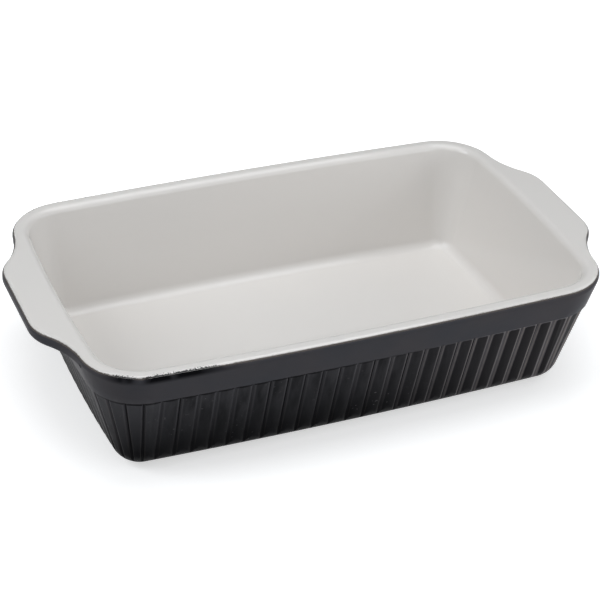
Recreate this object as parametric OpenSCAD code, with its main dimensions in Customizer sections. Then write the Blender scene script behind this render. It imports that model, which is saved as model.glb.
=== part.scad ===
// Rectangular stoneware baking dish with two end lugs.
// The outline is a rectangle with bowed sides and round corners. Every wall
// surface is one cross section carried round that outline, so all of its
// offsets share the same arc centres. The lower wall is fluted: convex ribs
// stand between narrow grooves, under a plain band that projects over them.
// The clay is one piece. Its glaze coats are closed skins of even thickness,
// and each one ends where the glaze of the real dish ends.

/* [Body] */
// Length over both lugs
overall_l = 344; // [336:1:352]
// How far each lug stands out past the end of the body
lug_out = 14.5; // [12:0.5:18]
// Width of the rim, over the middle of the long sides
body_w = 198.5; // [185:0.5:215]
// Height from the table to the top of the rim
height = 77; // [70:0.5:78]
// Corner radius of the rim outline
corner_r = 34; // [34:0.5:38]
// Angle that the bow of a long side turns through from its middle to a corner
side_a = 2.2; // [1:0.1:2.6]
// Angle that the bow of an end turns through from its middle to a corner
end_a = 3.5; // [1:0.1:4]
// Lean of the outer wall from upright, in degrees
draft = 15.5; // [12:0.5:15.5]

/* [Rim and inside] */
// Thickness of the rim
rim_t = 10; // [9:0.5:12]
// Radius of the outer edge of the rim
rim_outer_r = 3.2; // [2.5:0.1:3.6]
// Radius of the inner edge of the rim
rim_inner_r = 4.5; // [3:0.5:5]
// Lean of the inner wall from upright, in degrees
inner_draft = 11.5; // [11:0.5:14]
// Thickness of the floor over the base
floor_t = 9; // [7:0.5:11]
// Radius between the floor and the inner wall
floor_r = 6.5; // [4:0.5:7]

/* [Band and flutes] */
// Height of the plain band under the rim
band_h = 19.5; // [16:0.5:24]
// How far the band projects over the ribs
band_step = 1; // [0.6:0.1:1.3]
// Ribs along a long side
side_ribs = 24; // [20:2:28]
// Ribs along an end
end_ribs = 13; // [11:2:15]
// Ribs round a corner
corner_ribs = 4; // [3:1:5]
// Depth of a groove below the rib crests
groove_d = 1.3; // [1:0.1:1.6]
// Width of a groove at its bottom
groove_w = 0.7; // [0.5:0.1:1]
// Width of a groove at its lips
lip_w = 2.2; // [1.8:0.1:2.6]
// Radius of the convex face of a rib
rib_r = 17; // [14:1:22]
// Plain strip between the groove tops and the band
strip_h = 1; // [0.6:0.1:2]

/* [Lugs] */
// Straight part of the outer edge of a lug
lug_flat_w = 49; // [44:1:56]
// Radius of the outer corners of a lug
lug_corner_r = 26.5; // [24:0.5:28]
// Angle that each outer corner of a lug turns through before the hollow curve
// that runs into the body corner
lug_turn = 39; // [36:0.5:41]
// Thickness of a lug
lug_t = 8; // [7:0.5:10]
// Radius of the hollow between a lug and the band below it
cove_r = 5; // [3:0.5:6]
// Distance from the end of that hollow to the edge of the lug
cove_end = 6; // [5:0.5:14]
// How far the circle of that hollow dips into the wall
cove_dip = 0.2; // [0.1:0.05:0.3]

/* [Base and glaze] */
// Radius between the outer wall and the base
base_r = 16.5; // [12:0.5:16.5]
// Height of the unglazed foot ring
foot_h = 1.2; // [1:0.1:2]
// Width of the foot ring
foot_w = 5; // [4:0.5:8]
// Distance from the rim outline to the foot ring
foot_inset = 36; // [35.5:0.5:40]
// Outer corner radius of the foot ring
foot_corner_r = 14; // [10:1:20]
// Thickness of the glaze coats
glaze_t = 0.5; // [0.3:0.1:0.6]
// How far the lining glaze runs down over the outer edge of the rim
glaze_lap = 0.9; // [0.8:0.1:2.4]

/* [Hidden] */
clay_colour = "BurlyWood";
cream_colour = "AntiqueWhite";
charcoal_colour = "DarkSlateGray";

// Facets of a full turn: small edges, corners, and the long arcs of the sides
edge_fn = 48;
corner_fn = 160;
bow_fn = 3600;
// Room by which a cutting shape passes the surface that it cuts
over = 4;
// Parts into which a millimetre is divided by the middle step of a long shift
fine_steps = 1000;

// Arc centres and radii of the bowed outline. Each corner circle touches the
// circles of the side and of the end from inside, so the two bows depend on each
// other: their arms, from arc centre to corner centre, solve two linear equations.
half_l = overall_l / 2 - lug_out;
half_w = body_w / 2;
inner_l = half_l - corner_r;
inner_w = half_w - corner_r;
side_sag = 1 - cos(side_a);
end_sag = 1 - cos(end_a);
mix = sin(side_a) * sin(end_a) - side_sag * end_sag;
side_arm = (inner_l * sin(end_a) - inner_w * end_sag) / mix;
end_arm = (inner_w * sin(side_a) - inner_l * side_sag) / mix;
corner_x = side_arm * sin(side_a);
corner_y = end_arm * sin(end_a);
side_r = side_arm + corner_r;
end_r = end_arm + corner_r;
side_c = side_r - half_w;
end_c = end_r - half_l;
corner_a = 90 - side_a - end_a;
// The wall sections of the sides reach this far in, past the corner centres
reach = corner_r + over;

// Points of a rib face, as shares of its half width outwards from its crest
shoulder_share = 0.6;
crest_share = 0.12;

// Levels
rim_z = height - rim_outer_r;
inner_rim_z = height - rim_inner_r;
ledge_z = height - band_h;
groove_top_z = ledge_z - strip_h;
floor_z = foot_h + floor_t;
lap_z = height - glaze_lap;
base_c_z = foot_h + base_r;
floor_c_z = floor_z + floor_r;
groove_low_z = base_c_z / 4;

// Distance of a wall surface from the rim outline at height z, negative inwards
function face_x(z) = rim_outer_r / cos(draft) - rim_outer_r - (rim_z - z) * tan(draft);
function crest_x(z) = face_x(z) - band_step / cos(draft);
function inner_x(z) = rim_inner_r - rim_t - rim_inner_r / cos(inner_draft) - (inner_rim_z - z) * tan(inner_draft);
base_c_x = crest_x(base_c_z) - base_r / cos(draft);
floor_c_x = inner_x(floor_c_z) - floor_r / cos(inner_draft);
inner_rim_x = rim_inner_r - rim_t;
// Spacing of the corner grooves at the foot of the wall, where they stand closest
corner_pitch = (corner_r + crest_x(base_r)) * corner_a * PI / 180 / corner_ribs;

// Arcs of the lug outline: the outer corner about lug_c, then the hollow root
// about root_c. The root circle touches the lug corner and the body corner from
// outside, which fixes its radius.
lug_x = overall_l / 2;
lug_c = [lug_x - lug_corner_r, lug_flat_w / 2];
body_c = [corner_x, corner_y];
apart = lug_c - body_c;
heading = [cos(lug_turn), sin(lug_turn)];
extra_r = corner_r - lug_corner_r;
lug_arm = (pow(norm(apart), 2) - pow(extra_r, 2)) / (2 * (extra_r - apart * heading));
lug_root_r = lug_arm - lug_corner_r;
root_c = lug_c + lug_arm * heading;
root_a = lug_turn - atan2(root_c.y - corner_y, root_c.x - corner_x);
lug_z = height - lug_t;

module round_at(x, z, r) {
    translate([x, z]) circle(r = r, $fn = edge_fn);
}

// Solid of the outer form as a section, with every surface set in by inset
module outer_section(inset) {
    skew = inset / cos(draft);
    intersection() {
        union() {
            polygon([
                [-reach, foot_h + inset],
                [base_c_x, foot_h + inset],
                [base_c_x + (base_r - inset) * cos(draft), base_c_z - (base_r - inset) * sin(draft)],
                [crest_x(ledge_z + inset) - skew, ledge_z + inset],
                [face_x(ledge_z + inset) - skew, ledge_z + inset],
                [(rim_outer_r - inset) * cos(draft) - rim_outer_r, rim_z - (rim_outer_r - inset) * sin(draft)],
                [-rim_outer_r, height - inset],
                [-reach, height - inset]
            ]);
            round_at(base_c_x, base_c_z, base_r - inset);
            round_at(-rim_outer_r, rim_z, rim_outer_r - inset);
        }
        translate([-reach, 0]) square([reach + over, height + over]);
    }
}

// Space inside the dish as a section, grown into the wall by inset
module cavity_section(inset) {
    intersection() {
        difference() {
            union() {
                polygon([
                    [-reach, floor_z - inset],
                    [floor_c_x, floor_z - inset],
                    [floor_c_x + (floor_r + inset) * cos(inner_draft), floor_c_z - (floor_r + inset) * sin(inner_draft)],
                    [
                        inner_rim_x - (rim_inner_r - inset) * cos(inner_draft),
                        inner_rim_z + (rim_inner_r - inset) * sin(inner_draft)
                    ],
                    [inner_rim_x, inner_rim_z],
                    [inner_rim_x, height + over],
                    [-reach, height + over]
                ]);
                round_at(floor_c_x, floor_c_z, floor_r + inset);
            }
            round_at(inner_rim_x, inner_rim_z, rim_inner_r - inset);
        }
        translate([-reach, 0]) square([reach + over, height + over]);
    }
}

// Moves by v in steps from coarse to fine, which keeps every digit of a long shift
module exactly(v) {
    coarse = [round(v.x), round(v.y)];
    middle = [round((v.x - coarse.x) * fine_steps), round((v.y - coarse.y) * fine_steps)] / fine_steps;
    translate(coarse) translate(middle) translate(v - coarse - middle) children();
}

// Carries a section round the outline and fills the middle from low to high
module carried(low, high) {
    for (mx = [0, 1], my = [0, 1]) mirror([mx, 0, 0]) mirror([0, my, 0]) exactly([corner_x, corner_y])
        rotate_extrude(angle = corner_a, start = end_a, $fn = corner_fn) intersection() {
            translate([corner_r, 0]) children();
            square([corner_r + over, height + 2 * over]);
        }
    for (my = [0, 1]) mirror([0, my, 0]) exactly([0, -side_c])
        rotate_extrude(angle = 2 * side_a, start = 90 - side_a, $fn = bow_fn) exactly([side_r, 0]) children();
    for (mx = [0, 1]) mirror([mx, 0, 0]) exactly([-end_c, 0])
        rotate_extrude(angle = 2 * end_a, start = -end_a, $fn = bow_fn) exactly([end_r, 0]) children();
    translate([-corner_x, -corner_y, low]) cube([2 * corner_x, 2 * corner_y, high - low]);
}

module outer_form(inset) {
    carried(foot_h + inset, height - inset) outer_section(inset);
}

module cavity(inset) {
    carried(floor_z - inset, height + over) cavity_section(inset);
}

// Groove across its length, with the flanks of the ribs beside it. The second
// coordinate points out of the wall and is zero on the crests. The flanks follow
// the arc of a rib face, and the last stretch runs out over the crest.
module groove_section(inset, pitch) {
    function fall(share) = rib_r - sqrt(pow(rib_r, 2) - pow(share * pitch / 2, 2));
    function flank(share) = [(1 - share) * pitch / 2, -fall(share) - inset];
    lip_share = 1 - (lip_w + 2 * inset) / pitch;
    edge = [
        [groove_w / 2 + inset, -groove_d - inset],
        flank(lip_share),
        flank(lip_share * shoulder_share),
        [(1 - crest_share) * pitch / 2, crest_share * fall(lip_share * shoulder_share) - inset],
        [(1 - crest_share) * pitch / 2, over]
    ];
    for (m = [0, 1]) mirror([m, 0]) polygon(concat([[0, over], [0, -groove_d - inset]], edge));
}

// Runs a groove shape up a wall that leans out towards +Y from the line y = at
module up_the_wall(at) {
    translate([0, at + crest_x(groove_low_z), groove_low_z]) rotate([-draft, 0, 0])
        linear_extrude(height = (groove_top_z - groove_low_z) / cos(draft)) children();
}

// All grooves of one bowed wall, as one comb
module comb(inset, count, wall_r, half_a) {
    crest_r = wall_r + crest_x(ledge_z);
    pitch = 2 * crest_r * sin(half_a) / count;
    for (i = [0 : count - 1]) {
        a = (i + 0.5 - count / 2) * 2 * half_a / count;
        u = crest_r * sin(a);
        translate([u, -pow(u, 2) * cos(draft) / (2 * crest_r)]) rotate(-a) groove_section(inset, pitch);
    }
}

module grooves(inset) {
    for (my = [0, 1]) mirror([0, my, 0]) up_the_wall(half_w) comb(inset, side_ribs, side_r, side_a);
    for (mx = [0, 1]) mirror([mx, 0, 0]) rotate([0, 0, -90])
        up_the_wall(half_l) comb(inset, end_ribs, end_r, end_a);
    for (mx = [0, 1], my = [0, 1]) mirror([mx, 0, 0]) mirror([0, my, 0])
        for (i = [0 : corner_ribs - 1]) translate([corner_x, corner_y, 0])
            rotate([0, 0, end_a - 90 + (i + 0.5) * corner_a / corner_ribs])
                up_the_wall(corner_r) groove_section(inset, corner_pitch);
}

// Rounded edge of a lug as a section
module lug_section(inset) {
    intersection() {
        union() {
            polygon([
                [-lug_corner_r, lug_z + inset],
                [-rim_outer_r, lug_z + inset],
                [-inset, lug_z + rim_outer_r],
                [-inset, rim_z],
                [-rim_outer_r, height - inset],
                [-lug_corner_r, height - inset]
            ]);
            round_at(-rim_outer_r, rim_z, rim_outer_r - inset);
            round_at(-rim_outer_r, lug_z + rim_outer_r, rim_outer_r - inset);
        }
        translate([-lug_corner_r, 0]) square([lug_corner_r + over, height + over]);
    }
}

module lug(inset) {
    translate([0, 0, lug_z + inset]) linear_extrude(height = lug_t - 2 * inset)
        polygon([body_c, lug_c, [lug_c.x, -lug_c.y], [body_c.x, -body_c.y]]);
    translate([lug_x, lug_c.y, 0]) rotate([90, 0, 0])
        linear_extrude(height = lug_flat_w) lug_section(inset);
    for (my = [0, 1]) mirror([0, my, 0]) {
        exactly(lug_c) rotate_extrude(angle = lug_turn, $fn = corner_fn)
            translate([lug_corner_r, 0]) lug_section(inset);
        exactly(root_c) mirror([0, 1, 0])
            rotate_extrude(angle = root_a, start = 180 - lug_turn, $fn = bow_fn / 8)
                exactly([lug_root_r, 0]) mirror([1, 0]) lug_section(inset);
    }
}

// Hollow curve that carries the underside of a lug into the band. Its circle dips
// a little into the wall, and both of its ends are cut off at 45 degrees.
module cove(inset) {
    cove_z = lug_z - cove_r;
    cove_x = face_x(cove_z) + cove_r / cos(draft) - cove_dip;
    low_z = cove_z + cove_r * sin(draft);
    top_z = lug_z + rim_outer_r;
    lug_y = root_c.y - sqrt(pow(lug_root_r, 2) - pow(root_c.x - half_l - cove_x, 2));
    end_y = lug_y - cove_end - inset * sqrt(2);
    intersection() {
        translate([corner_x, 0, 0]) rotate([90, 0, 90]) linear_extrude(height = lug_x - corner_x) polygon([
            [-end_y, lug_z],
            [lug_z - low_z - end_y, low_z],
            [end_y - lug_z + low_z, low_z],
            [end_y, lug_z],
            [end_y, top_z],
            [-end_y, top_z]
        ]);
        exactly([-end_c, 0]) rotate_extrude(angle = 2 * end_a, start = -end_a, $fn = bow_fn)
            exactly([end_r, 0]) difference() {
                translate([-over, low_z]) square([over + cove_x, top_z - low_z]);
                round_at(cove_x, cove_z, cove_r + inset);
            }
    }
}

module lugs(inset) {
    for (mx = [0, 1]) mirror([mx, 0, 0]) {
        lug(inset);
        cove(inset);
    }
}

// Fluted outside with both lugs, not yet hollow
module outside(inset) {
    difference() {
        outer_form(inset);
        grooves(inset);
    }
    lugs(inset);
}

// Outline of the foot ring, set in by inset
module foot_plan(inset) {
    r = foot_corner_r - inset;
    for (s = [0, 1]) {
        w = 2 * (half_l - foot_inset - inset - s * r);
        d = 2 * (half_w - foot_inset - inset - (1 - s) * r);
        translate([-w / 2, -d / 2]) square([w, d]);
    }
    for (sx = [-1, 1], sy = [-1, 1])
        translate([sx * (half_l - foot_inset - foot_corner_r), sy * (half_w - foot_inset - foot_corner_r)])
            circle(r = r, $fn = corner_fn);
}

// Everything between two levels, as a cutting block
module slab(low, high) {
    translate([-overall_l, -body_w, low]) cube([2 * overall_l, 2 * body_w, high - low]);
}

module stoneware_body() {
    color(clay_colour) {
        difference() {
            outside(glaze_t);
            cavity(glaze_t);
        }
        linear_extrude(height = foot_h + glaze_t) difference() {
            foot_plan(0);
            foot_plan(foot_w);
        }
    }
}

module cream_lining_glaze() {
    color(cream_colour) difference() {
        union() {
            intersection() {
                union() {
                    outer_form(0);
                    lugs(0);
                }
                slab(lap_z, height + over);
            }
            intersection() {
                cavity(glaze_t);
                slab(0, lap_z);
            }
        }
        cavity(0);
        difference() {
            union() {
                outer_form(glaze_t);
                lugs(glaze_t);
            }
            cavity(glaze_t);
            slab(0, lap_z);
        }
    }
}

module charcoal_outer_glaze() {
    color(charcoal_colour) difference() {
        outside(0);
        outside(glaze_t);
        slab(lap_z, height + over);
        linear_extrude(height = foot_h + over) foot_plan(0);
    }
}

module base_glaze() {
    color(charcoal_colour) translate([0, 0, foot_h]) linear_extrude(height = glaze_t) foot_plan(foot_w);
}

stoneware_body();
cream_lining_glaze();
charcoal_outer_glaze();
base_glaze();
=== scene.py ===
# %% [markdown]
# # A fluted stoneware baking dish
#
# This lesson dresses the imported model of a stoneware baking dish. The real dish
# is one piece of fired clay under coats of glaze, and the model has one solid
# for the clay and one for each coat. The solids keep their shape here. What is
# made is their look: a cream lining, a charcoal outside with painted light and
# shade on its ribs, paler towards the right-hand end partly where the glaze has
# thinned and partly as painted light, a plain panel underneath and a bare foot ring.
#
# All lengths are metres, in the frame of the model: +X runs along the dish to
# one lug, +Z is up, and the dish stands on the plane z = 0.

import math
from types import SimpleNamespace

import bpy
from mathutils import Matrix, Vector


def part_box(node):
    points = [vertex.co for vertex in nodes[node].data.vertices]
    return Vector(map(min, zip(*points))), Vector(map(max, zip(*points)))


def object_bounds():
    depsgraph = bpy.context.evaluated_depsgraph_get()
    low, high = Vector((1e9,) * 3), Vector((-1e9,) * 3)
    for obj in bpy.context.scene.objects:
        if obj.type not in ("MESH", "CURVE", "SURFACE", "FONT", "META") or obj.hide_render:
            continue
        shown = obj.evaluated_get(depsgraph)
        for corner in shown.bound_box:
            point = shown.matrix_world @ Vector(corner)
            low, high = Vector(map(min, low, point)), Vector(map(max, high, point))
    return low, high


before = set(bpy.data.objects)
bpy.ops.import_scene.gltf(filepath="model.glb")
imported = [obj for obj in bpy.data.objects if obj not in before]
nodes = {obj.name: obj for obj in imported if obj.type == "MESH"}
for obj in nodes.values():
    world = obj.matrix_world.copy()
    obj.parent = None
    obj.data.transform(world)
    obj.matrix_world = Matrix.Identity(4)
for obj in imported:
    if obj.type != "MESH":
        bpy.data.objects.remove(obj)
model_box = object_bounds()
mm = 0.001
for name in nodes:
    low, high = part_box(name)
    print(name, [round(v / mm, 1) for v in high - low], "mm")

# %% [markdown]
# ## The viewing angle
#
# The dish is seen from the front left, a good way above the rim, and the
# picture is a little rolled, as a hand-held product shot often is. An empty
# with a tracking constraint could aim the camera, but the roll would then need
# a second step. Here the three axes of the camera come straight from the three
# angles, so each angle can be changed alone.

# %% Set the viewing angle
view_azimuth = math.radians(-23.74)
view_elevation = math.radians(32.71)
view_roll = math.radians(2.45)

back = Vector((
    math.sin(view_azimuth) * math.cos(view_elevation),
    -math.cos(view_azimuth) * math.cos(view_elevation),
    math.sin(view_elevation),
))
level = Vector((0, 0, 1)).cross(back).normalized()
upright = back.cross(level)
right = level * math.cos(view_roll) + upright * math.sin(view_roll)
up = upright * math.cos(view_roll) - level * math.sin(view_roll)
print("the eye looks from", [round(v, 3) for v in back])

# %% [markdown]
# ## The camera
#
# The eye is set back along the view axis. Its distance settles how strongly
# the far lug shrinks against the near corner, and the focal length then sets
# how large the dish is in the picture. The aim is a little above the table, at
# about half the height of the dish.

# %% Place the camera
eye_distance = 1118.5 * mm
aim_right = 0.36 * mm
aim_up = 33.2 * mm
sensor_width = 36.0
focal_length = 111.36
eye = right * aim_right + up * aim_up + back * eye_distance

camera = bpy.data.objects.new("camera", bpy.data.cameras.new("camera"))
bpy.context.scene.collection.objects.link(camera)
camera.data.sensor_width = sensor_width
camera.data.lens = focal_length
turned = Matrix((right, up, back)).transposed().to_4x4()
camera.matrix_world = Matrix.Translation(eye) @ turned
bpy.context.scene.camera = camera
print("eye at", [round(v, 3) for v in eye])

# %% [markdown]
# ## Smooth surfaces
#
# The model arrives as triangles. A glazed wall is smooth, so neighbouring
# triangles have to share their shading. A subdivision surface would round the
# corners as well and change the size. Two modifiers and a rule for sharp edges
# leave the shape alone: a weld joins points that lie on each other, only edges
# above the given angle stay sharp, and weighted normals stop the large flat
# faces from being pulled out of true by the small ones beside them.

# %% Smooth the solids
sharp_angle = math.radians(34)
weld_distance = 0.002 * mm
face_weight = 50


def smooth(solid):
    for polygon in solid.data.polygons:
        polygon.use_smooth = True
    weld = solid.modifiers.new("weld", "WELD")
    weld.merge_threshold = weld_distance
    solid.data.set_sharp_from_angle(angle=sharp_angle)
    weighted = solid.modifiers.new("weighted normals", "WEIGHTED_NORMAL")
    weighted.keep_sharp = True
    weighted.weight = face_weight


for solid in nodes.values():
    smooth(solid)
    print(solid.name, len(solid.data.vertices), "points", len(solid.data.polygons), "faces")

# %% [markdown]
# ## Helpers for node materials
#
# Each finish below is a small network of shader nodes. Written out one by one,
# the nodes would hide what the network does. Two helpers keep the cells short:
# one adds a node and sets or links its inputs by name, the other does a single
# sum on numbers or sockets.

# %% Add nodes and do sums
def feed(tree, socket, value):
    if isinstance(value, bpy.types.NodeSocket):
        tree.links.new(value, socket)
    else:
        socket.default_value = value


def add(tree, kind, inputs=None, **settings):
    made = tree.nodes.new(kind)
    for key, value in settings.items():
        setattr(made, key, value)
    for key, value in (inputs or {}).items():
        feed(tree, made.inputs[key], value)
    return made


def work(tree, operation, *values, clamp=False):
    made = add(tree, "ShaderNodeMath", operation=operation, use_clamp=clamp)
    for socket, value in zip(made.inputs, values):
        feed(tree, socket, value)
    return made.outputs[0]


print("nodes can be added and summed")

# %% [markdown]
# ## Helpers for patterns
#
# Every pattern here is made of the same few steps: a noise gives clouds or
# grain, a ramp turns a length or a noise into a share between 0 and 1, and a
# blend lays one colour over another by that share. They all read the place of
# a point on the object, so the pattern stays put from every side. A noise is
# named by three numbers: its scale per metre, its detail and its roughness.

# %% Noise, ramp and blend
mix_share, mix_under, mix_over, mix_result = 0, 6, 7, 2


def noise(tree, place, pattern):
    scale, detail, roughness = pattern
    inputs = {"Vector": place, "Scale": scale, "Detail": detail, "Roughness": roughness}
    return add(tree, "ShaderNodeTexNoise", inputs).outputs["Fac"]


def ramp(tree, value, low, high):
    inputs = {"Value": value, "From Min": low, "From Max": high}
    return add(tree, "ShaderNodeMapRange", inputs).outputs["Result"]


def blend(tree, share, under, over):
    inputs = {mix_share: share, mix_under: under, mix_over: over}
    return add(tree, "ShaderNodeMix", inputs, data_type="RGBA").outputs[mix_result]


def object_place(tree):
    return add(tree, "ShaderNodeTexCoord").outputs["Object"]


def axes(tree, place):
    return add(tree, "ShaderNodeSeparateXYZ", {"Vector": place}).outputs


print("patterns are read in the frame of the dish, in metres")

# %% [markdown]
# ## Helpers for a finish
#
# A finish starts from a fresh material. Its skin is never quite flat: glass
# that has flowed is faintly wavy, and clay is gritty. A bump is enough for
# both, because they are far thinner than anything in the outline.

# %% Start a finish and give it a skin
def new_finish(name):
    finish = bpy.data.materials.new(name)
    finish.use_nodes = True
    shader = finish.node_tree.nodes["Principled BSDF"]
    return finish, finish.node_tree, shader


def rough_skin(tree, shader, height, strength, depth, **more):
    inputs = {"Height": height, "Strength": strength, "Distance": depth, **more}
    bump = add(tree, "ShaderNodeBump", inputs)
    tree.links.new(bump.outputs["Normal"], shader.inputs["Normal"])


glaze_relief = 0.5 * mm
glass_index = 1.5
print("glaze relief", glaze_relief / mm, "mm at full strength")

# %% [markdown]
# ## The main sizes
#
# The patterns of the outside follow its band, flutes and rim, so they need the
# sizes that these were built from. The outer sizes are read from the model, and
# the few that can't be read from its box are named here.

# %% Read the main sizes
lug_reach = 14.5 * mm
band_drop = 19.5 * mm
lap_drop = 0.9 * mm
corner_radius = 34.0 * mm
side_angle = math.radians(2.2)
end_angle = math.radians(3.5)
corner_angle = math.pi / 2 - side_angle - end_angle
side_ribs, end_ribs, corner_ribs = 24, 13, 4

overall, body_width, rim_height = (
    round((high - low) / mm, 2) * mm for low, high in zip(*model_box)
)
body_length = overall - 2 * lug_reach
ledge_height = rim_height - band_drop
lap_height = rim_height - lap_drop
sizes = (body_length, body_width, rim_height, ledge_height)
print("body, rim and foot of the band", [round(v / mm, 2) for v in sizes], "mm")

# %% [markdown]
# ## Where each point of the wall lies
#
# Three things on the outside follow the wall rather than the three axes: the
# pale line on each lip of a flute, the darker glaze that has pooled in each
# groove, and the painted shade on the face between two grooves. An image could
# be wrapped round the wall for them, but sums on the coordinates are sharper and
# need no unwrapping.
#
# The outline of the dish is made of arcs: one for each bowed side, one for each
# bowed end and one for each corner. Every groove is a spoke of its arc, so the
# arc centres have to be found first.

# %% Find the arc centres
corner_from_end = body_length / 2 - corner_radius
corner_from_side = body_width / 2 - corner_radius
side_sag = 1 - math.cos(side_angle)
end_sag = 1 - math.cos(end_angle)
share = math.sin(side_angle) * math.sin(end_angle) - side_sag * end_sag
side_arm = (corner_from_end * math.sin(end_angle) - corner_from_side * end_sag) / share
end_arm = (corner_from_side * math.sin(side_angle) - corner_from_end * side_sag) / share
corner_x = side_arm * math.sin(side_angle)
corner_y = end_arm * math.sin(end_angle)
side_centre = side_arm + corner_radius - body_width / 2
end_centre = end_arm + corner_radius - body_length / 2
rib_pitch = (side_arm + corner_radius) * side_angle / (side_ribs / 2)
print("corner centre", [round(v / mm, 2) for v in (corner_x, corner_y)], "mm")
print("arc centres", [round(v / mm, 1) for v in (side_centre, end_centre)], "mm behind the middle")
print("rib pitch on a long side", round(rib_pitch / mm, 2), "mm at the rim")

# %% [markdown]
# ## One arc and its grooves
#
# The angle about an arc centre, divided by the angle between two spokes, is a
# whole number in the middle of each groove, once the shift of the first groove
# is taken off. What is left over from the nearest whole number, times the
# radius, is the gap to that groove. The whole number itself tells one groove
# from the next.

# %% Measure from the nearest spoke
def spoke(tree, sideways, outward, first, step, shift):
    turn = work(tree, "SUBTRACT", work(tree, "ARCTAN2", sideways, outward), first)
    outward_square = work(tree, "MULTIPLY", outward, outward)
    radius = work(tree, "SQRT", work(tree, "MULTIPLY_ADD", sideways, sideways, outward_square))
    count = work(tree, "SUBTRACT", work(tree, "DIVIDE", turn, step), shift)
    nearest = work(tree, "ROUND", count)
    off = work(tree, "ABSOLUTE", work(tree, "SUBTRACT", count, nearest))
    gap = work(tree, "MULTIPLY", off, work(tree, "MULTIPLY", radius, step))
    return SimpleNamespace(turn=turn, gap=gap, nearest=nearest)


side_step = side_angle / (side_ribs / 2)
end_step = end_angle / (end_ribs / 2)
corner_step = corner_angle / corner_ribs
steps = (side_step, end_step, corner_step)
print("degrees between grooves", [round(math.degrees(v), 3) for v in steps])

# %% [markdown]
# ## All the grooves
#
# The dish is the same in its four quarters, so the sums are done once on the
# distances from the middle. A point belongs to the side or the end while its
# angle lies within that arc, and to the corner otherwise. Each quarter then
# gets numbers of its own, so that grooves near each other never share one.

# %% Find the nearest groove
end_numbers, x_numbers, y_numbers = 20.0, 100.0, 300.0


def pick(tree, test, yes, no):
    gain = work(tree, "SUBTRACT", yes, no)
    return work(tree, "MULTIPLY_ADD", test, gain, no)


def nearest_groove(tree, point):
    along = work(tree, "ABSOLUTE", point["X"])
    across = work(tree, "ABSOLUTE", point["Y"])
    past_corner_x = work(tree, "SUBTRACT", along, corner_x)
    past_corner_y = work(tree, "SUBTRACT", across, corner_y)
    side = spoke(tree, along, work(tree, "ADD", across, side_centre), 0.0, side_step, 0.5)
    end = spoke(tree, across, work(tree, "ADD", along, end_centre), 0.0, end_step, 0.0)
    corner = spoke(tree, past_corner_y, past_corner_x, end_angle, corner_step, 0.5)
    on_side = work(tree, "LESS_THAN", side.turn, side_angle)
    on_end = work(tree, "LESS_THAN", end.turn, end_angle)
    end_number = work(tree, "ADD", end.nearest, end_numbers)
    gap = pick(tree, on_side, side.gap, pick(tree, on_end, end.gap, corner.gap))
    number = pick(tree, on_side, side.nearest, pick(tree, on_end, end_number, corner.nearest))
    quarter = work(tree, "MULTIPLY", work(tree, "SIGN", point["Y"]), y_numbers)
    quarter = work(tree, "MULTIPLY_ADD", work(tree, "SIGN", point["X"]), x_numbers, quarter)
    return gap, work(tree, "ADD", number, quarter)


print("grooves round the dish", 2 * (side_ribs + end_ribs) + 4 * corner_ribs)

# %% [markdown]
# ## The ragged edge
#
# The two glazes meet just under the outer edge of the rim. The edge is grainy
# all round, and near the left front corner the dark glaze has also crept up in
# dabs. The edge could be cut into the mesh, but the grains are finer than its
# triangles. Here a fine noise moves the edge up and down, and a coarse one, kept
# to that stretch, lets it move further.

# %% Draw the ragged edge
edge_reach = 0.8 * mm
dab_reach = 1.1 * mm
dab_stretch = (-150 * mm, -75 * mm)
dab_left_fade = 10 * mm
dab_right_fade = 25 * mm
dab_cloud = (60.0, 2.0, 0.5)
edge_grain = (900.0, 3.0, 0.7)


def dark_dabs(tree, place):
    along = axes(tree, place)["X"]
    left, right_end = dab_stretch
    patches = ramp(tree, noise(tree, place, dab_cloud), 0.34, 0.50)
    from_left = ramp(tree, along, left, left + dab_left_fade)
    from_right = ramp(tree, along, right_end, right_end - dab_right_fade)
    return work(tree, "MULTIPLY", patches, work(tree, "MULTIPLY", from_right, from_left))


def ragged_edge(tree, place, dabs):
    grain = noise(tree, place, edge_grain)
    reach = work(tree, "MULTIPLY_ADD", dabs, dab_reach, edge_reach)
    return work(tree, "MULTIPLY", grain, reach)


print("the edge wanders by", edge_reach / mm, "mm, and by", dab_reach / mm, "mm more in the dabs")

# %% [markdown]
# ## The outer side of the rim
#
# The cream coat turns over the rim and down its outer side for less than a
# millimetre. Only that narrow strip may turn dark, not the lining at the same
# height. On the strip the surface faces away from the middle of the dish: the
# distance of the point, measured along its own normal, is larger there than on
# the lining or on the flat of the rim.

# %% Find the outward side
outward_limit = 1.1 * rim_height


def outward_facing(tree, place):
    facing = add(tree, "ShaderNodeVectorMath", operation="DOT_PRODUCT")
    tree.links.new(place, facing.inputs[0])
    tree.links.new(add(tree, "ShaderNodeNewGeometry").outputs["Normal"], facing.inputs[1])
    return work(tree, "GREATER_THAN", facing.outputs["Value"], outward_limit)


print("outward means further than", round(outward_limit / mm, 1), "mm along the normal")

# %% [markdown]
# ## Cream lining glaze
#
# The lining is a thick off-white glaze. It is even, but not a flat colour: it
# lies a touch warmer in broad soft clouds, and its skin has the faint waviness
# of glass that has flowed. A noise with fine detail would look like stains, so
# the clouds are kept wide and their two colours close. At its edge the coat is
# thin and lets the dark glaze below it show through in specks.

# %% Make the cream glaze
cream_cool = (0.775, 0.748, 0.718, 1)
cream_warm = (0.790, 0.758, 0.724, 1)
lap_grey = (0.120, 0.104, 0.095, 1)
# Black of pooled glaze, also used as painted shade towards the foot and as painted shadow under the
# band.
pool_and_shade_black = (0.004, 0.004, 0.005, 1)
cream_edge_drop = 0.3 * mm
cream_edge_blur = 0.12 * mm
cream_cloud = (12.0, 1.0, 0.4)
cream_wave = (60.0, 1.0, 0.4)
cream_rough, cream_rougher = 0.07, 0.05
cream_bump = 0.10


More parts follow.
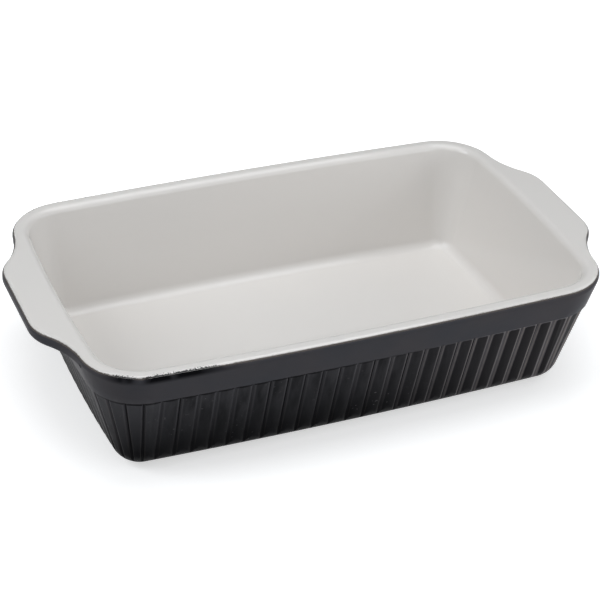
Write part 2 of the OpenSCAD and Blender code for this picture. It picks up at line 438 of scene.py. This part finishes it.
def cream_glaze():
    finish, tree, shader = new_finish("cream_glaze")
    place = object_place(tree)
    cloud = noise(tree, place, cream_cloud)
    base = blend(tree, ramp(tree, cloud, 0.2, 0.8), cream_cool, cream_warm)
    dabs = dark_dabs(tree, place)
    edge = work(tree, "ADD", ragged_edge(tree, place, dabs), lap_height - cream_edge_drop)
    below_edge = work(tree, "SUBTRACT", edge, axes(tree, place)["Z"])
    thin = ramp(tree, below_edge, -cream_edge_blur, cream_edge_blur)
    thin = work(tree, "MULTIPLY", thin, outward_facing(tree, place))
    base = blend(tree, thin, base, blend(tree, dabs, lap_grey, pool_and_shade_black))
    tree.links.new(base, shader.inputs["Base Color"])
    roughness = work(tree, "MULTIPLY_ADD", cloud, cream_rougher, cream_rough)
    tree.links.new(roughness, shader.inputs["Roughness"])
    shader.inputs["IOR"].default_value = glass_index
    rough_skin(tree, shader, noise(tree, place, cream_wave), cream_bump, glaze_relief)
    return finish


cream_lining = cream_glaze()
print(cream_lining.name, "has", len(cream_lining.node_tree.nodes), "nodes")

# %% [markdown]
# ## Charcoal outer glaze: what each point knows
#
# The outside is a satin charcoal. It is drawn darker down the wall towards the
# foot, as painted shade, and paler towards the right-hand end, partly where the
# glaze thins and partly as painted light, with hardly two grooves alike. These
# shares are worked out once and kept together, so that each colour below can use
# them by name: depth under the band, gap to the nearest groove, the painted shade
# towards the foot, the thin glaze with painted light, and the painted highlight
# where the wall turns into the right-hand corner. The streaks are a noise drawn
# out along the height, as glaze runs down.

# %% Map the outer wall
foot_shade_start, foot_shade_end = 1.0 * mm, 42.0 * mm
thin_lit_start, thin_lit_end = -30 * mm, 90 * mm
thin_lit_lean = -35 * mm
left_thin_lit_start, left_thin_lit_end, left_thin_lit_share = -132 * mm, -150 * mm, 0.45
corner_highlight_start, corner_highlight_end = 112 * mm, 132 * mm
below_start, below_end = 0.8 * mm, 1.4 * mm
streak_stretch = (1.0, 1.0, 0.12)
run_streaks = (420.0, 3.0, 0.6)


# Paler towards the right-hand end and a little at the left-hand corner: partly thinner glaze,
# partly painted light.
def thin_and_lit(tree, along, sunk):
    leaning = work(tree, "MULTIPLY_ADD", sunk, thin_lit_lean, along)
    to_right = ramp(tree, leaning, thin_lit_start, thin_lit_end)
    to_left = ramp(tree, along, left_thin_lit_start, left_thin_lit_end)
    return work(tree, "MAXIMUM", to_right, work(tree, "MULTIPLY", to_left, left_thin_lit_share))


def map_wall(tree, place):
    wall = SimpleNamespace(place=place)
    point = axes(tree, place)
    wall.along, wall.height = point["X"], point["Z"]
    wall.gap, number = nearest_groove(tree, point)
    chance = add(tree, "ShaderNodeTexWhiteNoise", {"W": number}, noise_dimensions="1D")
    wall.luck = chance.outputs["Value"]
    wall.depth = work(tree, "SUBTRACT", ledge_height, wall.height)
    wall.below = ramp(tree, wall.depth, below_start, below_end)
    # Painted shade: darker down the wall towards the foot.
    wall.sunk = ramp(tree, wall.depth, foot_shade_start, foot_shade_end)
    wall.thinner = thin_and_lit(tree, wall.along, wall.sunk)
    # Painted highlight where the wall turns into the right-hand corner.
    wall.turning = ramp(tree, wall.along, corner_highlight_start, corner_highlight_end)
    drawn_out = add(tree, "ShaderNodeMapping", {"Vector": place, "Scale": streak_stretch})
    wall.stretched = drawn_out.outputs["Vector"]
    wall.streak = noise(tree, wall.stretched, run_streaks)
    return wall


print("the glaze is blackest below", round((ledge_height - foot_shade_end) / mm, 1), "mm above the table")

# %% [markdown]
# ## The plain band
#
# The band under the rim has no ribs. Its glaze is an even dark grey with a
# slight drift between a cooler and a warmer tone.

# %% Colour the band
charcoal_cool = (0.057, 0.058, 0.066, 1)
charcoal_warm = (0.069, 0.064, 0.069, 1)
soft_cloud = (30.0, 2.0, 0.5)


def band_colour(tree, wall):
    cloud = noise(tree, wall.place, soft_cloud)
    return blend(tree, ramp(tree, cloud, 0.3, 0.7), charcoal_cool, charcoal_warm)


print("band from", charcoal_cool[:3], "to", charcoal_warm[:3])

# %% [markdown]
# ## Thick glaze
#
# Where the glaze lies thick it is almost black, in uneven columns that follow
# its run down the wall. It is a little paler at the left-hand end, as painted
# light, and blackest at the foot, as painted shade. Small pale specks sit in it
# in loose groups, where gas came out of the clay as it was fired. A single noise
# for the specks would spread them evenly, so a second, coarser one chooses where
# the groups are.

# %% Colour the thick glaze
thick_dark = (0.018, 0.018, 0.020, 1)
thick_light = (0.046, 0.045, 0.049, 1)
# Pale grey of painted light, for the left-hand end and the strips beside the grooves.
painted_light_grey = (0.070, 0.069, 0.075, 1)
# Grey of the pale specks, also used for the painted highlight on the strips.
speck_and_highlight_grey = (0.160, 0.150, 0.157, 1)
speck_strength = 0.45
speck_groups = (45.0, 1.0, 0.5)
speck_grain = (560.0, 1.0, 0.5)
run_columns = (170.0, 2.0, 0.5)
left_light_start, left_light_end = -105 * mm, -135 * mm


def pale_specks(tree, wall):
    groups = ramp(tree, noise(tree, wall.place, speck_groups), 0.50, 0.62)
    specks = ramp(tree, noise(tree, wall.place, speck_grain), 0.68, 0.76)
    return work(tree, "MULTIPLY", work(tree, "MULTIPLY", specks, groups), speck_strength)


def thick_colour_with_painted_light(tree, wall):
    column = noise(tree, wall.stretched, run_columns)
    # Painted light: paler at the left-hand end.
    left_light = ramp(tree, wall.along, left_light_start, left_light_end)
    thick = blend(tree, ramp(tree, column, 0.36, 0.64), thick_dark, thick_light)
    thick = blend(tree, left_light, thick, painted_light_grey)
    # Painted shade: blackest towards the foot.
    thick = blend(tree, wall.sunk, thick, pool_and_shade_black)
    return blend(tree, pale_specks(tree, wall), thick, speck_and_highlight_grey)


print("thick glaze from", thick_dark[:3], "to", thick_light[:3])

# %% [markdown]
# ## The ribs
#
# Towards the right-hand end each rib has a dark face of painted shade between two
# paler strips of painted highlight, one along each groove, so that the ribs read
# as hollow panels. Elsewhere the strips are painted lighter than the face, as
# painted light against the shade of the grooves, and black towards the foot, as
# painted shade. The face is a long panel with rounded upper corners: it keeps a
# set distance from the groove and from the band. Its mask is the distance from an
# inner line, which rounds the corners by itself.

# %% Colour the ribs
face_shade_dark = (0.018, 0.0165, 0.018, 1)
face_from_groove = 3.4 * mm
face_wider_turning = 0.7 * mm
face_from_band = 3.2 * mm
face_far, face_near = 2.1 * mm, 1.3 * mm


def shaded_face_mask(tree, wall):
    # Painted highlight: the pale strips widen near the right-hand corner.
    edge = work(tree, "MULTIPLY_ADD", wall.turning, face_wider_turning, face_from_groove)
    off_lip = work(tree, "MAXIMUM", work(tree, "SUBTRACT", edge, wall.gap), 0.0)
    off_top = work(tree, "SUBTRACT", face_from_band, wall.depth)
    off_top = work(tree, "MAXIMUM", off_top, 0.0)
    off_top_square = work(tree, "MULTIPLY", off_top, off_top)
    square = work(tree, "MULTIPLY_ADD", off_lip, off_lip, off_top_square)
    return ramp(tree, work(tree, "SQRT", square), face_far, face_near)


def rib_colour(tree, wall):
    # Painted shade on the face, painted highlight on the strips beside the grooves.
    face = blend(tree, wall.thinner, thick_colour_with_painted_light(tree, wall), face_shade_dark)
    strip = blend(tree, wall.sunk, painted_light_grey, pool_and_shade_black)
    strip = blend(tree, wall.thinner, strip, speck_and_highlight_grey)
    return blend(tree, shaded_face_mask(tree, wall), strip, face)


print("paler strip beside a groove to", round((face_from_groove - face_far) / mm, 1), "mm from it")

# %% [markdown]
# ## Pools and lips
#
# Molten glaze runs into the grooves and pools there, black. It draws back from
# the lip on each side and leaves a thin, paler, browner line. None of these
# lines is even: luck, one number for each groove, makes some break hard and
# some hardly at all, and the streaks break them up along their length. The lines
# grow stronger towards the right-hand end with the thin glaze and painted light,
# and near the right-hand corner the pools fade out as painted highlight.

# %% Pool in the grooves and break on the lips
break_brown = (0.300, 0.262, 0.236, 1)
pool_far, pool_near = 0.50 * mm, 0.25 * mm
lip_gap = 1.15 * mm
lip_far, lip_near = 0.36 * mm, 0.12 * mm
pool_lost_turning = 0.8
luck_share, least_luck, streak_share = 0.4, 0.2, 0.4
lip_lit_share, least_lip_lit = 0.92, 0.05


def pooled(tree, wall):
    pool = work(tree, "MULTIPLY", ramp(tree, wall.gap, pool_far, pool_near), wall.below)
    chance = ramp(tree, wall.luck, 0.1, 0.9)
    # Painted highlight: the pools fade out near the right-hand corner.
    chance = work(tree, "MULTIPLY_ADD", wall.turning, -pool_lost_turning, chance)
    return work(tree, "MULTIPLY", pool, chance, clamp=True)


def drawn_lip(tree, wall):
    off_lip = work(tree, "ABSOLUTE", work(tree, "SUBTRACT", wall.gap, lip_gap))
    line = work(tree, "MULTIPLY", ramp(tree, off_lip, lip_far, lip_near), wall.below)
    chance = work(tree, "MULTIPLY_ADD", wall.luck, luck_share, least_luck)
    broken = ramp(tree, wall.streak, 0.35, 0.65)
    patch = work(tree, "MULTIPLY_ADD", broken, streak_share, chance)
    # Partly thinner glaze, partly painted light: the lip lines grow stronger towards the right-hand
    # end.
    thinner_square = work(tree, "MULTIPLY", wall.thinner, wall.thinner)
    thin_lit_lift = work(tree, "MULTIPLY_ADD", thinner_square, lip_lit_share, least_lip_lit)
    return work(tree, "MULTIPLY", work(tree, "MULTIPLY", line, patch), thin_lit_lift)


print("lip line", lip_gap / mm, "mm from the middle of its groove")

# %% [markdown]
# ## The painted shadow under the band
#
# The band stands a millimetre proud of the ribs, and a fine black line of
# painted shadow is drawn in the angle below it. The step itself hides part of
# the angle from above, so the line is drawn just below the step. It fades towards
# the right-hand end with the thin glaze and painted light.

# %% Draw the painted shadow under the band
shadow_line_depth = 1.4 * mm
shadow_line_far, shadow_line_near = 1.15 * mm, 0.75 * mm
shadow_line_strength = 0.9


# Painted shadow: a black line under the band's step, weaker towards the right-hand end.
def band_shadow_line(tree, wall):
    off = work(tree, "ABSOLUTE", work(tree, "SUBTRACT", wall.depth, shadow_line_depth))
    strength = work(tree, "MULTIPLY_ADD", wall.thinner, -shadow_line_strength, shadow_line_strength)
    return work(tree, "MULTIPLY", ramp(tree, off, shadow_line_far, shadow_line_near), strength)


print("band_shadow_line", shadow_line_depth / mm, "mm below the band")

# %% [markdown]
# ## The charcoal glaze at the rim
#
# Right under the cream edge the dark glaze has drawn back to a grey brown, as
# grainy as the edge itself. Below each dab it has run down a few millimetres
# and lies thick and black.

# %% Finish the glaze at the rim
run_bottom, run_top = 4.2 * mm, 1.6 * mm
drawn_drop = 1.0 * mm
drawn_blur = 0.10 * mm


def rim_colour(tree, wall, base):
    dabs = dark_dabs(tree, wall.place)
    run = ramp(tree, wall.height, lap_height - run_bottom, lap_height - run_top)
    base = blend(tree, work(tree, "MULTIPLY", run, dabs), base, pool_and_shade_black)
    edge = ragged_edge(tree, wall.place, dabs)
    edge = work(tree, "ADD", edge, lap_height - drawn_drop)
    above_edge = work(tree, "SUBTRACT", wall.height, edge)
    drawn = ramp(tree, above_edge, -drawn_blur, drawn_blur)
    return blend(tree, drawn, base, blend(tree, dabs, lap_grey, pool_and_shade_black))


print("runs reach", round(run_bottom / mm, 1), "mm below the edge of the cream")

# %% [markdown]
# ## Satin skin
#
# A satin glaze scatters its shine and hardly mirrors. With the usual strength
# of reflection the white floor would lie over the dark ribs as a grey veil, so
# the strength is set low. It is a number that is the same all over, and stands
# on the shader's own socket. The roughness follows the streaks.

# %% Give the dark glaze its skin
satin_strength = 0.02
satin_rough, satin_rougher = 0.28, 0.20
satin_bump = 0.18
satin_wave = (160.0, 3.0, 0.5)


def satin_skin(tree, shader, place, streak, **more):
    roughness = work(tree, "MULTIPLY_ADD", streak, satin_rougher, satin_rough)
    tree.links.new(roughness, shader.inputs["Roughness"])
    shader.inputs["IOR"].default_value = glass_index
    shader.inputs["Specular IOR Level"].default_value = satin_strength
    wave = noise(tree, place, satin_wave)
    rough_skin(tree, shader, wave, satin_bump, glaze_relief, **more)


print("satin roughness from", satin_rough, "to", round(satin_rough + satin_rougher, 2))

# %% [markdown]
# ## Charcoal outer glaze: put together
#
# The layers go on in this order: band and ribs, pools, lips, the plain glaze
# that turns under the dish, the painted shadow under the band, and the rim. The
# edges of the real ribs are softened by the glaze. A bevel in the shader rounds
# them for the light alone, where a bevel on the mesh would change the solid.

# %% Make the charcoal glaze
glaze_softening = 0.6 * mm
softening_samples = 4
band_foot, rib_top = 0.2 * mm, 0.8 * mm
foot_plain, foot_fluted = 3.0 * mm, 8.0 * mm


def charcoal_glaze():
    finish, tree, shader = new_finish("charcoal_glaze")
    place = object_place(tree)
    wall = map_wall(tree, place)
    under_band = ramp(tree, wall.depth, band_foot, rib_top)
    base = blend(tree, under_band, band_colour(tree, wall), rib_colour(tree, wall))
    base = blend(tree, pooled(tree, wall), base, pool_and_shade_black)
    base = blend(tree, drawn_lip(tree, wall), base, break_brown)
    base = blend(tree, ramp(tree, wall.height, foot_plain, foot_fluted), thick_dark, base)
    # Painted shadow under the band's step.
    base = blend(tree, band_shadow_line(tree, wall), base, pool_and_shade_black)
    base = rim_colour(tree, wall, base)
    tree.links.new(base, shader.inputs["Base Color"])
    soft = add(tree, "ShaderNodeBevel", {"Radius": glaze_softening}, samples=softening_samples)
    satin_skin(tree, shader, place, wall.streak, Normal=soft.outputs["Normal"])
    return finish


charcoal_outside = charcoal_glaze()
print(charcoal_outside.name, "has", len(charcoal_outside.node_tree.nodes), "nodes")

# %% [markdown]
# ## The glaze under the dish
#
# The panel inside the foot ring has the same glaze as the outside, but it is
# flat: nothing pools or breaks there, so only a soft cloud is left. With the
# wall's finish on it, the spokes of the grooves would be drawn right across it.

# %% Make the glaze under the dish
def under_glaze():
    finish, tree, shader = new_finish("under_glaze")
    place = object_place(tree)
    cloud = noise(tree, place, soft_cloud)
    base = blend(tree, ramp(tree, cloud, 0.3, 0.7), thick_dark, thick_light)
    tree.links.new(base, shader.inputs["Base Color"])
    satin_skin(tree, shader, place, cloud)
    return finish


glaze_below = under_glaze()
print(glaze_below.name, "has", len(glaze_below.node_tree.nodes), "nodes")

# %% [markdown]
# ## Bare clay
#
# The foot ring is wiped clean before firing, so that the dish doesn't stick to
# the kiln shelf. Only there does the fired clay show: matt, buff and slightly
# gritty. One fine noise gives both the colour of the grit and its relief.

# %% Make the bare clay
clay_dark = (0.36, 0.27, 0.19, 1)
clay_light = (0.46, 0.36, 0.27, 1)
clay_roughness = 0.85
clay_grit = (900.0, 3.0, 0.6)
clay_relief = 0.3 * mm
clay_bump = 0.4


def bare_clay():
    finish, tree, shader = new_finish("bare_clay")
    grit = noise(tree, object_place(tree), clay_grit)
    base = blend(tree, ramp(tree, grit, 0.35, 0.65), clay_dark, clay_light)
    tree.links.new(base, shader.inputs["Base Color"])
    shader.inputs["Roughness"].default_value = clay_roughness
    rough_skin(tree, shader, grit, clay_bump, clay_relief)
    return finish


fired_clay = bare_clay()
print(fired_clay.name, "has", len(fired_clay.node_tree.nodes), "nodes")

# %% [markdown]
# ## Dress the dish
#
# Each solid is one coat or the clay, so each gets one finish. The solids keep
# their places and their meshes, and only what fills their material slot is new.

# %% Dress the solids
finishes = {
    "stoneware_body": fired_clay,
    "cream_lining_glaze": cream_lining,
    "charcoal_outer_glaze": charcoal_outside,
    "base_glaze": glaze_below,
}
for name, finish in finishes.items():
    slots = nodes[name].data.materials
    slots.clear()
    slots.append(finish)
    print(name, "wears", finish.name)

# %% [markdown]
# ## Soft lamps
#
# The light comes from large soft lamps, as in a studio for tableware. One big
# dome would be simpler, but the dish needs different amounts from different
# sides. The lining is lit from above and from the left, and the front takes a
# weak fill. Two small lamps at the right brighten the last ribs and the floor
# beside them. The powers are low, so that the cream stays below white.

# %% Light the studio
daylight = (0.94, 0.97, 1.0)
dish_middle = (0, 0, 0.04)
right_ribs = (0.15, -0.1, 0.03)
right_end = (0.33, -0.1, 0)


def soft_lamp(name, place, size, power, aim=dish_middle):
    lamp = bpy.data.lights.new(name, "AREA")
    lamp.shape = "RECTANGLE"
    lamp.size, lamp.size_y = size
    lamp.energy = power
    lamp.color = daylight
    holder = bpy.data.objects.new(name, lamp)
    bpy.context.scene.collection.objects.link(holder)
    holder.location = place
    view = Vector(aim) - Vector(place)
    holder.rotation_euler = view.to_track_quat("-Z", "Y").to_euler()
    print(name, power, "W,", round(view.length, 2), "m from its aim")


soft_lamp("top_softbox", (0, 0, 0.75), (0.7, 0.5), 2.85)
soft_lamp("left_softbox", (-0.9, 0, 0.8), (0.6, 0.6), 4.7)
soft_lamp("front_softbox", (0, -0.6, 0.9), (1.0, 0.5), 1.5)
soft_lamp("front_fill", (0.6, -1.2, 0.35), (1.0, 0.5), 3.1)
soft_lamp("right_strip", (0.55, -0.40, 0.17), (0.3, 0.3), 0.7, right_ribs)
soft_lamp("right_floor_strip", (0.55, -0.05, 0.4), (0.3, 0.3), 0.25, right_end)

# %% [markdown]
# ## The space around
#
# The camera sees the space above the floor as white. For every other ray it is
# dim, because light from all sides would flatten the inside of the dish and
# wash out the dark ribs. The light path tells the two apart.

# %% Set the space around
dim_sky = 0.045
white = (1, 1, 1, 1)
world = bpy.data.worlds.new("studio")
bpy.context.scene.world = world
world.use_nodes = True
sky = world.node_tree
seen = add(sky, "ShaderNodeLightPath").outputs["Is Camera Ray"]
strength = work(sky, "MULTIPLY_ADD", seen, 1.0 - dim_sky, dim_sky)
sky.nodes["Background"].inputs["Color"].default_value = white
sky.links.new(strength, sky.nodes["Background"].inputs["Strength"])
print("the sky lights the dish with", dim_sky, "and looks", white[0])

# %% [markdown]
# ## The floor
#
# The floor is pale paper, a plane so wide that its edge is far behind the dish.

# %% Lay the floor
floor_reach = 6.0
corners = [(x * floor_reach, y * floor_reach, 0) for x, y in ((-1, -1), (1, -1), (1, 1), (-1, 1))]
floor_mesh = bpy.data.meshes.new("floor")
floor_mesh.from_pydata(corners, [], [(0, 1, 2, 3)])
floor = bpy.data.objects.new("floor", floor_mesh)
bpy.context.scene.collection.objects.link(floor)
print("floor", 2 * floor_reach, "m square")

# %% [markdown]
# ## The paper of the floor
#
# Lit by the lamps alone the paper would look grey. More light would make it
# white, and the cream too. Instead the paper has a glow that only the camera,
# shiny surfaces and glass see, so it isn't cast on the dish as light. Close to
# the dish the glow is weaker, which leaves room for the shadow, and it grows to
# full white over a quarter of a metre. How far a point is from the dish is
# measured from a rectangle under it, with the same sum as for the faces of the
# ribs, so the glow follows the shape of the dish with rounded corners.

# %% Make the paper
near_white, far_white = 0.55, 1.0
half_length, half_width = 0.12, 0.06
fade_length = 0.25
paper_pale = (0.75, 0.75, 0.75, 1)
paper_roughness = 0.9


def beyond(tree, position, limit):
    past = work(tree, "SUBTRACT", work(tree, "ABSOLUTE", position), limit)
    return work(tree, "MAXIMUM", past, 0.0)


def paper_glow(tree):
    spot = axes(tree, object_place(tree))
    beside = beyond(tree, spot["X"], half_length)
    before = beyond(tree, spot["Y"], half_width)
    square = work(tree, "MULTIPLY_ADD", beside, beside, work(tree, "MULTIPLY", before, before))
    away = ramp(tree, work(tree, "SQRT", square), 0.0, fade_length)
    return work(tree, "MULTIPLY_ADD", away, far_white - near_white, near_white)


paper, paper_tree, paper_shader = new_finish("paper")
paper_shader.inputs["Base Color"].default_value = paper_pale
paper_shader.inputs["Roughness"].default_value = paper_roughness
paper_shader.inputs["Emission Color"].default_value = white
rays = add(paper_tree, "ShaderNodeLightPath").outputs
showing = work(paper_tree, "MAXIMUM", rays["Is Camera Ray"], rays["Is Glossy Ray"])
showing = work(paper_tree, "MAXIMUM", showing, rays["Is Transmission Ray"])
glow = work(paper_tree, "MULTIPLY", showing, paper_glow(paper_tree))
paper_tree.links.new(glow, paper_shader.inputs["Emission Strength"])
floor_mesh.materials.append(paper)
print("paper glows from", near_white, "beside the dish to", far_white)

# %% [markdown]
# ## Colours as they are written
#
# The Standard view shows a colour as the materials give it, without the film
# curve that would dull the cream. Nothing here changes a size.

# %% Set the Standard view
bpy.context.scene.view_settings.view_transform = "Standard"
